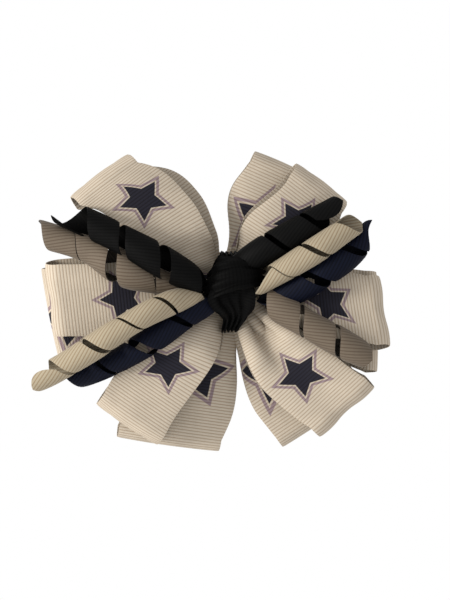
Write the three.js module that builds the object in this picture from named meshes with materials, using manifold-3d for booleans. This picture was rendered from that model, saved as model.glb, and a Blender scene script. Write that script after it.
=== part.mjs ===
// A cheer hair bow: a double-layer pinwheel of six figure-eight ribbon strips, four corkscrew curl strips
// laid across it, a knotted black centre, and a sprung alligator clip behind. The loops in front are 7/8 inch
// ribbon and the loops behind are 1 1/4 inch.
// Millimetres. +X is to the right as the bow is looked at, +Z is up, and the bow faces -Y.
// The origin is in the clip's bite, behind the middle of the knot.
import * as THREE from "three";
import { mergeVertices } from "three/addons/utils/BufferGeometryUtils.js";
import Module from "manifold-3d";

const wasm = await Module();
wasm.setup();

const GAP = 0.3; // between pieces that touch

// Ribbon
const RIBBON_WIDTHS = { front: 22.2, back: 31.75 };
const RIBBON_PLY = 0.3;
const PLY_GAP = 0.15;
const WAIST_WIDTH = 4.4; // a strip gathered under the knot
const SLOT = 2 * RIBBON_PLY + PLY_GAP + GAP; // depth that one gathered strip takes
const OPEN_FROM = 9; // distance from the middle where a loop starts to open
const OPEN_BY = 22;
const FLARE = 1.2; // how fast the gathered ribbon spreads to each side

// Depths in front of the bite
const STACK_BACK = 4.2;
const BACK_LAYER = { depth: 6.0, half: 3.4 };
const FRONT_LAYER = { depth: 14.0, half: 4.0 };

// Curls
const NECK_RADIUS = 0.6;
const NECK_PITCH = 2 * NECK_RADIUS + GAP;
const CURL_SIDES = 8;

// Centre
const THREAD = { reach: 7.3, width: 0.7, thick: 0.4 };
const BAND = { reach: 9.6, width: 1.8, thick: 0.35, clipHalf: 5.1 };
const KNOT = { width: 16.5, height: 19, depth: 6.4 };
// The knot and thread pass between the loops, off vertical
const CENTRE_LEAN = THREE.MathUtils.degToRad(-7.0);

// Clip
const STEEL = 0.6;
const CLIP = { tip: -23, tail: 24, halfWidth: 4.5, inner: 0.5 };
const PIN = { x: 8, y: 2.4, radius: 0.9, head: 1.4, half: 4.8, headThick: 0.4 };
const PIN_HOLE = PIN.radius + GAP;
const JAW = { halfWidth: 3.2, tipY: 1.3, pinY: 5.3, tailY: 10, tail: 24, flange: 0.5 };
const TOOTH = { pitch: 2.75, tip: -0.1, root: 0.9, from: -22, count: 6 };
const SPRING = { radius: 1.6, wire: 0.35, turns: 3.5, half: 1.75, leg: 18 };

const STRIPS = {
  front: [
    // each loop: direction from the middle, reach to its tip, heading of the ribbon at its tip
    { name: "front_ribbon_level", loops: [[183.8, 54.8, 186.2], [351.0, 46.4, 368.0]] },
    { name: "front_ribbon_rising", loops: [[49.1, 41.4, 53.3], [232.6, 52.0, 235.8]] },
    { name: "front_ribbon_falling", loops: [[139.8, 52.1, 127.3], [312.7, 50.9, 312.8]] },
  ],
  back: [
    { name: "back_ribbon_level", loops: [[188.4, 54.6, 193.6], [346.6, 45.3, 360.0]] },
    { name: "back_ribbon_rising", loops: [[58.7, 41.9, 70.0], [247.8, 51.5, 261.6]] },
    { name: "back_ribbon_falling", loops: [[146.0, 38.5, 146.0], [305.4, 48.9, 304.4]] },
  ],
};

const CURLS = [
  // each curl: its radius, and its axis from the knot outwards as [x, z, depth]
  {
    name: "navy_curl_strip",
    left: { radius: 3.1,
      axis: [[-14.5, -9.2, 19.1], [-22, -12.9, 21.9], [-31, -17.9, 20.8], [-44.8, -25.5, 15.5]],
    },
    right: { radius: 3.4, axis: [[17.2, -1.4, 20.9], [28, 6.5, 22], [40, 15.2, 19]] },
  },
  {
    name: "taupe_curl_strip",
    left: { radius: 3.4, axis: [[-22.5, 1.5, 21.8], [-40, 8.3, 22], [-49, 12, 21], [-56.5, 14.8, 18.5]] },
    right: { radius: 3.4, axis: [[12.5, -5.5, 19.2], [20, -10.1, 22], [38.6, -21.3, 21.9]] },
  },
  {
    name: "black_curl_strip",
    left: { radius: 3.4, axis: [[-13.5, 3.5, 20.5], [-21, 7.4, 27.0], [-30, 12.2, 25.2], [-47.5, 21.4, 22]] },
    right: { radius: 3.4, axis: [[9.2, 11.4, 19.8], [17, 16, 22], [29.6, 23.4, 22]] },
  },
  {
    name: "ivory_curl_strip",
    left: { radius: 3.7,
      axis: [[-17.9, -6.2, 27.4], [-28, -11.5, 29.0], [-40, -17.9, 26.4], [-54.4, -25.5, 21.5]],
    },
    right: { radius: 3.2, axis: [[12.4, 2.8, 21.5], [22, 9.9, 24.9], [35.8, 20, 24]] },
  },
];

const COLOURS = {
  cream: { color: 0xcdbfa6, roughness: 0.85, metalness: 0 },
  black: { color: 0x0c0c0b, roughness: 0.8, metalness: 0 },
  navy: { color: 0x10141e, roughness: 0.8, metalness: 0 },
  taupe: { color: 0x726455, roughness: 0.85, metalness: 0 },
  ivory: { color: 0xd8c8a8, roughness: 0.85, metalness: 0 },
  nickel: { color: 0xc2c4c8, roughness: 0.3, metalness: 1 },
  glue: { color: 0xd9cfae, roughness: 0.4, metalness: 0 },
};

const group = new THREE.Group();

function add(name, geometry, look) {
  const mesh = new THREE.Mesh(geometry, new THREE.MeshStandardMaterial(COLOURS[look]));
  mesh.name = name;
  group.add(mesh);
  return mesh;
}

const smooth = (value, from, to) => THREE.MathUtils.smoothstep(value, from, to);
const lerp = THREE.MathUtils.lerp;
const rad = THREE.MathUtils.degToRad;

// A closed solid through a row of rings that all have the same number of points.
function loft(rings) {
  const sides = rings[0].length;
  const geometry = new THREE.BufferGeometry().setFromPoints(rings.flat());
  const index = [];
  for (let row = 0; row + 1 < rings.length; row++) {
    for (let side = 0; side < sides; side++) {
      const a = row * sides + side;
      const b = row * sides + ((side + 1) % sides);
      index.push(a, b, b + sides, a, b + sides, a + sides);
    }
  }
  const last = (rings.length - 1) * sides;
  for (let side = 1; side + 1 < sides; side++) {
    index.push(0, side + 1, side);
    index.push(last, last + side, last + side + 1);
  }
  geometry.setIndex(index);
  return geometry;
}

// A closed three.js geometry as a manifold solid, and back.
function solid(geometry) {
  const bare = geometry.clone();
  bare.deleteAttribute("normal");
  bare.deleteAttribute("uv");
  const merged = mergeVertices(bare, 1e-4);
  return new wasm.Manifold(new wasm.Mesh({
    numProp: 3,
    vertProperties: new Float32Array(merged.attributes.position.array),
    triVerts: new Uint32Array(merged.index.array),
  }));
}

function geometryOf(manifold) {
  const mesh = manifold.getMesh();
  const geometry = new THREE.BufferGeometry();
  geometry.setAttribute("position", new THREE.BufferAttribute(mesh.vertProperties, 3));
  geometry.setIndex(new THREE.BufferAttribute(mesh.triVerts, 1));
  return geometry;
}

const join = (pieces) => geometryOf(pieces.map(solid).reduce((sum, piece) => sum.add(piece)));

// ---- Ribbon loops ----

const directions = (layer) => STRIPS[layer].flatMap((strip) => strip.loops.map((loop) => loop[0] % 360));

// Half the angle to the next loop of the same layer, on one side (+1 or -1) of a loop.
function halfGap(layer, direction, side) {
  const turns = directions(layer).map((other) => (((other - direction) * side) % 360 + 360) % 360);
  return rad(Math.min(...turns.filter((turn) => turn > 0.01)) / 2);
}

// How far the ribbon reaches to one side of a loop's middle line.
function halfWidth(layer, direction, side, distance) {
  const gathered = WAIST_WIDTH / 2;
  if (distance <= OPEN_FROM) return gathered;
  const room = distance * Math.tan(halfGap(layer, direction, side)) * 0.94 - 0.1;
  const spread = gathered + (distance - OPEN_FROM) * FLARE;
  return Math.max(gathered, Math.min(RIBBON_WIDTHS[layer] / 2, room, spread));
}

// One loop's side view: distance from the middle and depth, from the front ply round the tip to the back ply.
function loopProfile(slotDepth, layer, reach) {
  const { depth, half } = layer;
  const ply = (RIBBON_PLY + PLY_GAP) / 2;
  const full = half - RIBBON_PLY / 2;
  const bend = reach - half;
  const at = (distance, face) => {
    const open = smooth(distance, OPEN_FROM, OPEN_BY);
    return [distance, lerp(slotDepth + face * ply, depth + face * full, open)];
  };
  const along = [0.6, 4, OPEN_FROM, 11, 13, 16, 19, OPEN_BY, (OPEN_BY + bend) / 2];
  const tip = [];
  for (let step = 0; step <= 8; step++) {
    const angle = Math.PI / 2 - (step / 8) * Math.PI;
    tip.push([bend + full * Math.cos(angle), depth + full * Math.sin(angle)]);
  }
  const front = along.map((distance) => at(distance, 1));
  const back = along.map((distance) => at(distance, -1)).reverse();
  return [...front, ...tip, ...back];
}

// The four corners of the ribbon's section at one point of a loop's side view.
function ribbonRing(layerName, loop, point, normal) {
  const [direction, reach, heading] = loop;
  const angle = rad(direction);
  const skew = Math.tan(rad(direction - heading));
  const [distance, depth] = point;
  const share = smooth(distance / reach, 0.35, 1);
  const corner = (side, face) => {
    const across = side * halfWidth(layerName, direction % 360, side, distance);
    const out = distance + normal[0] * face * (RIBBON_PLY / 2) + skew * share * across;
    const front = depth + normal[1] * face * (RIBBON_PLY / 2);
    return new THREE.Vector3(
      out * Math.cos(angle) - across * Math.sin(angle),
      -front,
      out * Math.sin(angle) + across * Math.cos(angle),
    );
  };
  return [corner(1, 1), corner(-1, 1), corner(-1, -1), corner(1, -1)];
}

function loopRings(layerName, loop, slotDepth, layer) {
  const profile = loopProfile(slotDepth, layer, loop[1]);
  return profile.map((point, i) => {
    const before = profile[Math.max(i - 1, 0)];
    const after = profile[Math.min(i + 1, profile.length - 1)];
    const run = [after[0] - before[0], after[1] - before[1]];
    const length = Math.hypot(...run);
    return ribbonRing(layerName, loop, point, [-run[1] / length, run[0] / length]);
  });
}

// One strip: out along a loop's front ply, back behind it, through the waist and round the opposite loop.
function ribbonStrip(layerName, strip, slotDepth, layer) {
  const first = loopRings(layerName, strip.loops[0], slotDepth, layer);
  const second = loopRings(layerName, strip.loops[1], slotDepth, layer).reverse();
  const mirrored = second.map(([a, b, c, d]) => [b, a, d, c]);
  return loft([...first, ...mirrored]);
}

function addRibbons() {
  let slot = STACK_BACK + SLOT / 2 - GAP / 2;
  for (const [layerName, layer] of [["back", BACK_LAYER], ["front", FRONT_LAYER]]) {
    for (const strip of STRIPS[layerName]) {
      add(strip.name, ribbonStrip(layerName, strip, slot, layer), "cream");
      slot += SLOT;
    }
  }
  return slot - SLOT / 2 - GAP / 2;
}

// ---- Curl strips ----

function tubeRings(points, radii) {
  const curve = new THREE.CatmullRomCurve3(points, false, "centripetal");
  const steps = (points.length - 1) * 3;
  const frames = curve.computeFrenetFrames(steps, false);
  const rings = [];
  for (let step = 0; step <= steps; step++) {
    const centre = curve.getPointAt(step / steps);
    const radius = radii(step / steps);
    const ring = [];
    for (let side = 0; side < CURL_SIDES; side++) {
      const angle = (side / CURL_SIDES) * 2 * Math.PI;
      ring.push(centre.clone()
        .addScaledVector(frames.normals[step], radius * Math.cos(angle))
        .addScaledVector(frames.binormals[step], radius * Math.sin(angle)));
    }
    rings.push(ring);
  }
  return rings;
}

const spot = ([x, z, depth]) => new THREE.Vector3(x, -depth, z);

function curl(side) {
  return loft(tubeRings(side.axis.map(spot), () => side.radius));
}

// The gathered middle of a curl strip, from inside one curl, under the knot, to inside the other.
function curlNeck(left, right, depth) {
  const under = (side, distance) => {
    const [x, z] = side.axis[0];
    const scale = distance / Math.hypot(x, z);
    return new THREE.Vector3(x * scale, -depth, z * scale);
  };
  const inside = (side) => spot(side.axis[0]).lerp(spot(side.axis[1]), 0.15);
  const waist = [under(left, 9.4), under(left, 5), under(right, 5), under(right, 9.4)];
  const points = [inside(left), ...waist, inside(right)];
  return loft(tubeRings(points, () => NECK_RADIUS));
}

function addCurls(stackFront) {
  let depth = stackFront + NECK_RADIUS;
  for (const strip of CURLS) {
    const neck = curlNeck(strip.left, strip.right, depth);
    add(strip.name, join([curl(strip.left), neck, curl(strip.right)]), strip.name.split("_")[0]);
    depth += NECK_PITCH;
  }
  return depth - NECK_RADIUS;
}

// ---- Centre ----

// A flat ring round the waist: its outline is [height, depth], and it is extruded across by width.
function waistRing(outline, thick, width) {
  const shape = new THREE.Shape(outline.map(([z, depth]) => new THREE.Vector2(z, depth)));
  const middle = outline.reduce((sum, [, depth]) => sum + depth, 0) / outline.length;
  const inset = outline.map(([z, depth]) => {
    return new THREE.Vector2(z - Math.sign(z) * thick, depth - Math.sign(depth - middle) * thick);
  });
  shape.holes.push(new THREE.Path(inset.reverse()));
  const ring = new THREE.ExtrudeGeometry(shape, { depth: width, bevelEnabled: false });
  ring.translate(0, 0, -width / 2);
  // outline x is the object's Z, outline y its depth (-Y), and the extrusion its X
  const turn = new THREE.Matrix4().makeBasis(
    new THREE.Vector3(0, 0, 1),
    new THREE.Vector3(0, -1, 0),
    new THREE.Vector3(1, 0, 0),
  );
  return ring.applyMatrix4(turn).rotateY(CENTRE_LEAN);
}

function addThread(stackFront) {
  const { reach, width, thick } = THREAD;
  const back = STACK_BACK - GAP - thick;
  const front = stackFront + thick;
  const outline = [[reach, back], [reach, front], [-reach, front], [-reach, back]];
  add("binding_thread", waistRing(outline, thick, width), "black");
  return front + GAP;
}

function addKnot(curlFront) {
  const { reach, width, thick, clipHalf } = BAND;
  const back = -thick / 2;
  const knotBack = curlFront + 0.1;
  const outline = [
    [clipHalf, back], [reach, STACK_BACK], [reach, knotBack + 1],
    [-reach, knotBack + 1], [-reach, STACK_BACK], [-clipHalf, back],
  ];
  const band = waistRing(outline, thick, width);
  const puff = new THREE.SphereGeometry(1, 20, 10);
  puff.scale(KNOT.width / 2, KNOT.depth, KNOT.height / 2 + 0.5);
  puff.rotateY(CENTRE_LEAN);
  puff.translate(0, -knotBack, 0);
  const behind = new THREE.BoxGeometry(2 * KNOT.width, 2 * KNOT.depth, 2 * KNOT.height);
  behind.translate(0, -knotBack + KNOT.depth, 0);
  const front = solid(puff).subtract(solid(behind));
  add("centre_knot", geometryOf(front.add(solid(band))), "black");
}

// ---- Clip ----

function plate(shape, thick, z) {
  const geometry = new THREE.ExtrudeGeometry(shape, { depth: thick, bevelEnabled: false, curveSegments: 8 });
  return geometry.translate(0, 0, z);
}

function pinHole() {
  const hole = new THREE.Path();
  hole.absarc(PIN.x, PIN.y, PIN_HOLE, 0, 2 * Math.PI, true);
  return hole;
}

function upperEar() {
  const radius = 2.2;
  const ear = new THREE.Shape();
  ear.moveTo(PIN.x - 4, -CLIP.inner - STEEL / 2);
  ear.lineTo(PIN.x + 4, -CLIP.inner - STEEL / 2);
  ear.absarc(PIN.x, PIN.y, radius, 0, Math.PI, false);
  ear.holes.push(pinHole());
  return ear;
}

function addUpperArm() {
  const nose = CLIP.halfWidth * 0.8;
  const outline = new THREE.Shape();
  outline.moveTo(CLIP.tail, -CLIP.halfWidth);
  outline.lineTo(CLIP.tail, CLIP.halfWidth);
  outline.lineTo(CLIP.tip + nose, CLIP.halfWidth);
  outline.absellipse(CLIP.tip + nose, 0, nose, CLIP.halfWidth, Math.PI / 2, 1.5 * Math.PI, false);
  const arm = new THREE.ExtrudeGeometry(outline, { depth: STEEL, bevelEnabled: false, curveSegments: 10 });
  arm.rotateX(Math.PI / 2).translate(0, -CLIP.inner, 0);
  const ears = [CLIP.halfWidth - STEEL, -CLIP.halfWidth].map((z) => plate(upperEar(), STEEL, z));
  add("clip_upper_arm", join([arm, ...ears]), "nickel");
}

function addLining() {
  const lining = new THREE.BoxGeometry(CLIP.tail - CLIP.tip - 8, 0.4, 2 * CLIP.halfWidth - 0.4);
  lining.translate(CLIP.tail / 2 + CLIP.tip / 2, -(CLIP.inner + STEEL + GAP + 0.2), 0);
  add("clip_lining", lining, "black");
  const top = CLIP.inner + STEEL + GAP + 0.4 + GAP;
  const pad = new THREE.CylinderGeometry(4.2, 4.6, STACK_BACK - 2 * GAP - THREAD.thick - top, 16);
  pad.translate(0, -(top + STACK_BACK - 2 * GAP - THREAD.thick) / 2, 0);
  add("glue_pad", pad, "glue");
}

// The toothed side of the lower jaw, drawn along the clip's length.
function jawFlange() {
  const flange = new THREE.Shape();
  flange.moveTo(CLIP.tip + 0.4, JAW.tipY);
  for (let tooth = 0; tooth < TOOTH.count; tooth++) {
    const x = TOOTH.from + tooth * TOOTH.pitch;
    flange.lineTo(x, TOOTH.root);
    flange.lineTo(x + TOOTH.pitch / 2, TOOTH.tip);
  }
  flange.lineTo(TOOTH.from + TOOTH.count * TOOTH.pitch, TOOTH.root);
  flange.lineTo(PIN.x - 4, TOOTH.root + 0.3);
  flange.absarc(PIN.x, PIN.y, 2.4, 1.25 * Math.PI, 1.95 * Math.PI, false);
  flange.lineTo(PIN.x + 6, JAW.pinY + 1.5);
  flange.lineTo(PIN.x, JAW.pinY);
  flange.holes.push(pinHole());
  return flange;
}

function jawPlate() {
  const half = STEEL / 2;
  const profile = new THREE.Shape();
  profile.moveTo(CLIP.tip, JAW.tipY - half);
  profile.lineTo(PIN.x, JAW.pinY - half);
  profile.lineTo(JAW.tail, JAW.tailY - half);
  profile.lineTo(JAW.tail, JAW.tailY + half);
  profile.lineTo(PIN.x, JAW.pinY + half);
  profile.lineTo(CLIP.tip, JAW.tipY + half);
  return plate(profile, 2 * JAW.halfWidth, -JAW.halfWidth);
}

function addLowerArm() {
  const sides = [JAW.halfWidth - JAW.flange, -JAW.halfWidth].map((z) => plate(jawFlange(), JAW.flange, z));
  add("clip_lower_arm", join([jawPlate(), ...sides]), "nickel");
}

function addPin() {
  const end = PIN.half + PIN.headThick;
  const outline = [
    [0, -end], [PIN.head, -end], [PIN.head, -PIN.half], [PIN.radius, -PIN.half],
    [PIN.radius, PIN.half], [PIN.head, PIN.half], [PIN.head, end], [0, end],
  ];
  const pin = new THREE.LatheGeometry(outline.map(([r, z]) => new THREE.Vector2(r, z)), 16);
  pin.rotateX(Math.PI / 2).translate(PIN.x, PIN.y, 0);
  add("hinge_pin", pin, "nickel");
}

function addSpring() {
  const { radius, wire, turns, half, leg } = SPRING;
  const points = [new THREE.Vector3(leg, -CLIP.inner + GAP + wire, -half)];
  points.push(new THREE.Vector3(PIN.x + 3, PIN.y - radius - 0.2, -half));
  const steps = turns * 10;
  for (let step = 0; step <= steps; step++) {
    const angle = -Math.PI / 2 - (step / steps) * turns * 2 * Math.PI;
    const z = lerp(-half, half, step / steps);
    points.push(new THREE.Vector3(PIN.x + radius * Math.cos(angle), PIN.y + radius * Math.sin(angle), z));
  }
  points.push(new THREE.Vector3(leg, JAW.pinY + (leg - PIN.x) * 0.29 - STEEL - wire, half));
  add("torsion_spring", wireAlong(points, wire), "nickel");
}

// A bent wire through a row of points, with one section at each point.
function wireAlong(points, radius) {
  const rings = points.map((point, i) => {
    const before = points[Math.max(i - 1, 0)];
    const after = points[Math.min(i + 1, points.length - 1)];
    const along = after.clone().sub(before).normalize();
    const across = new THREE.Vector3(0, 0, 1).addScaledVector(along, -along.z).normalize();
    const up = along.clone().cross(across);
    const ring = [];
    for (let side = 0; side < 6; side++) {
      const angle = (side / 6) * 2 * Math.PI;
      ring.push(point.clone()
        .addScaledVector(across, radius * Math.cos(angle))
        .addScaledVector(up, radius * Math.sin(angle)));
    }
    return ring;
  });
  return loft(rings);
}

const stackFront = addRibbons();
const threadFront = addThread(stackFront + GAP);
const curlFront = addCurls(threadFront);
addKnot(curlFront);
addUpperArm();
addLining();
addLowerArm();
addPin();
addSpring();

export default group;
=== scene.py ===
"""The looks of a cheer hair bow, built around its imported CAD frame.

Ribbon is made as ribbon: each strip is one thin closed sheet whose ribs are real geometry, bent into loops
or wound into curls. Lengths are in millimetres and are turned into metres where a mesh is written. A plan
point is (x, z), and a depth is towards the viewer, which is -y. Angles in plan are in degrees, with 0 to
the right and 90 up.
"""

import math

import bmesh
import bpy
import numpy as np
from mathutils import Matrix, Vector


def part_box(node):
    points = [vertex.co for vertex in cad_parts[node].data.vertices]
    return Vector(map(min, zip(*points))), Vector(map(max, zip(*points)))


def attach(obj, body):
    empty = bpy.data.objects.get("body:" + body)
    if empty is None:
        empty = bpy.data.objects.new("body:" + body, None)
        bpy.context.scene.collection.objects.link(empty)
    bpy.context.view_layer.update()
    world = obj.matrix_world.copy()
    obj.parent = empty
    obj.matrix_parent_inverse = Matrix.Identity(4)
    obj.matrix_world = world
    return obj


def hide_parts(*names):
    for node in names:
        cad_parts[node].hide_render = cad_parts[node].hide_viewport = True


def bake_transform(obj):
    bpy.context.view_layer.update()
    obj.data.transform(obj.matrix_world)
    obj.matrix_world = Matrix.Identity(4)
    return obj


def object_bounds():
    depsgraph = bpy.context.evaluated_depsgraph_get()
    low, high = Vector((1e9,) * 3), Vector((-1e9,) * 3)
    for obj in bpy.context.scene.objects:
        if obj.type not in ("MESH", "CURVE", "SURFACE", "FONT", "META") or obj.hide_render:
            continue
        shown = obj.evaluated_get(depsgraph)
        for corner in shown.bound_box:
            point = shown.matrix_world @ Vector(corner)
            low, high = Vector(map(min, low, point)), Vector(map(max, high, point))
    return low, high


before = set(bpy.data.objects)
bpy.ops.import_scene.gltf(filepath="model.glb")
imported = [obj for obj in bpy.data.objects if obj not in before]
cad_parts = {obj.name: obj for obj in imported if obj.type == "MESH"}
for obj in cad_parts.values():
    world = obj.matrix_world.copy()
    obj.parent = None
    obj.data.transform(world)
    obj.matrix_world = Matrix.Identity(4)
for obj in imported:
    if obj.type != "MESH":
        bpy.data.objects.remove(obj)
CAD_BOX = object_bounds()

MM = 0.001

# Grosgrain: 7/8 inch in front, 1 1/4 inch behind and 3/8 inch curls
RIBBON_WIDTH = {"front": 22.2, "back": 31.75}
CURL_WIDTH = 9.5
PLY = 0.30
RIB_PITCH = 0.95
RIB_HEIGHT = 0.15
RIB_PHASES = (0.0, 0.14, 0.32, 0.5, 0.68, 0.86)
MOTIF_PITCH = 38.0
SELVAGE = 0.6  # thickness of the woven edge, as a share of the ribbon's
INSIDE = 60.0  # added to a place across the ribbon on its inside face, which is bare of print and is given painted shade

# Loops: the depth of each layer's middle, half the opening of its loops, its ribbon's share of full width
# where it is gathered at the waist, and the pleats in its back plies
LAYER_DEPTH = {"front": 14.0, "back": 6.0}
LAYER_HALF = {"front": 4.0, "back": 3.4}
GATHERED = {"front": 0.36, "back": 0.3}
BACK_PLEATS = {"front": 3, "back": 1}
HALF_WAIST = 0.3  # half the distance between two plies where they meet at the waist
FULL_WIDTH = 0.995  # share of full width past the gathers, as a loop is never quite flat

# Points drawn across each kind of ribbon
COLUMNS = {"front": 31, "back": 37, "curl": 15, "knot": 41, "lining": 15}

# Distances from the knot at which a loop's ribbon starts to spread and to turn to its final heading
SPREADING_STARTS = 3
TURNING_STARTS = 8

# Distances from the knot over which its plies part, its pleats grow, and its root shifts to its left and
# returns
PARTING = (7, 24)
PLEATING = (7, 12)
SHIFTING = (3, 9)
RETURNING = (13, 30)

# Each strip has two loops, and its print may sit to one side. A loop is given by the direction of its tip
# from the knot and its reach, the direction in which it leaves the knot, how far its root is shifted to its
# left, the ribbon's heading at the knot (root) and at the tip, the distance where it has spread to full
# width, its share of that at the tip, how far both plies bulge to its left and the back ply bows beyond
# that, how far the tip is rolled, how many pleats its front ply has at the knot, how deep they are, and how
# far out its motif sits.
STRIPS = [
    {
        "name": "front_ribbon_falling", "layer": "front", "slot": 9.82, "lift": 1.0, "print": 0,
        "loops": [
            dict(turn=139.8, reach=52.1, leave=141, shift=3.4, root=112, heading=127.3, spread=19, tip=0.99,
                 bulge=-2.8, bow=-4.6, roll=12, pleats=1, relief=1.0, motif=37.3),
            dict(turn=312.7, reach=50.9, leave=300, shift=0, root=299, heading=312.8, spread=31, tip=1.0,
                 bulge=0, bow=-0.8, roll=5, pleats=3, relief=1.0, motif=33.4),
        ],
    },
    {
        "name": "front_ribbon_rising", "layer": "front", "slot": 8.77, "lift": 0.0, "print": 0,
        "loops": [
            dict(turn=49.1, reach=41.4, leave=50, shift=0, root=60, heading=53.3, spread=22, tip=0.88,
                 bulge=-1.2, bow=0.4, roll=9, pleats=1, relief=1.0, motif=27.8),
            dict(turn=232.6, reach=52.0, leave=229, shift=-1.0, root=262, heading=235.8, spread=25, tip=1.0,
                 bulge=-0.6, bow=1.2, roll=-4, pleats=1, relief=1.0, motif=30.4),
        ],
    },
    {
        "name": "front_ribbon_level", "layer": "front", "slot": 7.72, "lift": -1.0, "print": 0,
        "loops": [
            dict(turn=183.8, reach=54.8, leave=187, shift=0, root=186, heading=186.2, spread=24, tip=1.0,
                 bulge=0, bow=-0.8, roll=-12, pleats=3, relief=0.8, motif=33.0),
            dict(turn=351.0, reach=46.4, leave=350, shift=0, root=352, heading=368.0, spread=24, tip=0.97,
                 bulge=0, bow=-1.5, roll=-13, pleats=3, relief=0.8, motif=29.3),
        ],
    },
    {
        "name": "back_ribbon_falling", "layer": "back", "slot": 6.67, "lift": 0.2, "print": 5,
        "loops": [
            dict(turn=150.0, reach=36.0, leave=149, shift=0, root=148, heading=149, spread=38, tip=0.9,
                 bulge=0, bow=0, roll=0, pleats=1, relief=0.3, motif=34.0),
            dict(turn=305.4, reach=48.9, leave=303, shift=0, root=297, heading=304.4, spread=37, tip=0.98,
                 bulge=0, bow=0, roll=3, pleats=1, relief=0.3, motif=26.7),
        ],
    },
    {
        "name": "back_ribbon_rising", "layer": "back", "slot": 5.62, "lift": 0.0, "print": 0,
        "loops": [
            dict(turn=67.3, reach=40.6, leave=69, shift=-2, root=80, heading=66, spread=38, tip=0.6,
                 bulge=0, bow=0, roll=4, pleats=1, relief=0.3, motif=21.8),
            dict(turn=247.8, reach=51.5, leave=248, shift=-0.6, root=262, heading=261.6, spread=43, tip=0.99,
                 bulge=0, bow=0, roll=-7, pleats=1, relief=0.3, motif=27.9),
        ],
    },
    {
        "name": "back_ribbon_level", "layer": "back", "slot": 4.57, "lift": -0.2, "print": 0,
        "loops": [
            dict(turn=189.6, reach=55.8, leave=190, shift=0, root=190, heading=191, spread=44, tip=0.96,
                 bulge=0, bow=0, roll=-5, pleats=1, relief=0.3, motif=49.0),
            dict(turn=346.6, reach=45.3, leave=346, shift=0, root=346, heading=360, spread=44, tip=0.96,
                 bulge=0, bow=0, roll=-8, pleats=1, relief=0.3, motif=41.0),
        ],
    },
]

# Each curl: its axis from under the knot outwards as (x, z, depth, radius), how far apart its turns are,
# which way round its end faces (in degrees, 0 towards the viewer), how slanted and how rounded its cut end
# is, and how far the end opens.
CURLS = [
    {
        "name": "navy_curl_strip", "colour": "navy",
        "curls": [
            dict(axis=[(-4.6, -4.6, 18.6, 2.4), (-12.1, -7.8, 20.6, 3.6), (-22.0, -14.4, 21.2, 3.8),
                       (-32.3, -21.0, 19.8, 3.5), (-43.6, -26.0, 16.4, 3.3), (-49.8, -28.2, 14.5, 3.1)],
                 turn=12.2, face=100, cut=-0.5, rounded=0.0, flare=1.0),
            dict(axis=[(7.0, -3.6, 17.5, 1.6), (17.6, -1.6, 19.2, 3.6), (28.2, 4.9, 20.8, 4.1),
                       (36.6, 11.4, 20.0, 3.8), (42.6, 18.6, 18.4, 2.9)],
                 turn=12, face=10, cut=-0.2, rounded=-0.3, flare=1),
        ],
    },
    {
        "name": "taupe_curl_strip", "colour": "taupe",
        "curls": [
            dict(axis=[(-8.5, -2.8, 18.2, 1.8), (-19, 0.8, 20.2, 3.2), (-31, 4.8, 22.6, 5.0),
                       (-42, 10.8, 21.0, 3.9), (-51, 14.0, 19.6, 4.0), (-60.0, 16.4, 18.2, 4.1)],
                 turn=11.4, face=170, cut=-0.2, rounded=0.2, flare=1.0),
            dict(axis=[(6.5, -1.6, 16.8, 2.8), (13, -5.4, 19.4, 4.1), (22, -10.8, 20.8, 4.1),
                       (32, -16.4, 21.2, 4.0), (43.6, -22.6, 20.6, 3.4)],
                 turn=11.3, face=120, cut=-0.8, rounded=0.2, flare=0.9),
        ],
    },
    {
        "name": "black_curl_strip", "colour": "black",
        "curls": [
            dict(axis=[(-5.5, -0.8, 18.4, 2.6), (-12.5, 2.8, 22.5, 4.2), (-22, 8.2, 26, 4.35),
                       (-35, 15.2, 24.6, 4.2), (-50.6, 22.6, 22, 3.9)],
                 turn=12.5, face=-60, cut=1.1, rounded=0.1, flare=1.1),
            dict(axis=[(1.0, 5.4, 17.0, 3.2), (8.8, 10.4, 20.4, 4.4), (20, 16.6, 22, 4.3),
                       (34.2, 24.6, 22, 4.0)],
                 turn=12, face=30, cut=0.3, rounded=0.5, flare=1.0),
        ],
    },
    {
        "name": "ivory_curl_strip", "colour": "ivory",
        "curls": [
            dict(axis=[(-9.0, -2.6, 19.0, 2.4), (-15.5, -3.8, 23.4, 3.3), (-22.8, -6.8, 26.6, 3.6),
                       (-33.1, -12.6, 27.4, 3.6), (-42.5, -18.8, 25.8, 3.6), (-53.2, -25.2, 23.2, 3.55),
                       (-60.6, -28.8, 21.5, 3.4)],
                 turn=11.9, face=35, cut=0.25, rounded=0.7, flare=0.95),
            dict(axis=[(6.5, 0.0, 20.5, 3.0), (14.5, 4.6, 22.8, 3.5), (24, 10.4, 25.2, 3.5),
                       (39.6, 21.2, 24, 3.3)],
                 turn=11.6, face=-110, cut=-0.1, rounded=0.6, flare=1.0),
        ],
    },
]


# ---- Curves and grids ----

def smooth(value, low, high):
    """0 up to low, 1 from high, and a smooth step between them."""
    t = np.clip((np.asarray(value, float) - low) / (high - low), 0, 1)
    return t * t * (3 - 2 * t)


def unit(vectors):
    """The vectors at length 1."""
    return vectors / np.linalg.norm(vectors, axis=-1, keepdims=True)


def lengths_along(points):
    """The distance along a line of points, at each of them."""
    steps = np.linalg.norm(np.diff(points, axis=0), axis=1)
    return np.concatenate([[0], np.cumsum(steps)])


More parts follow.
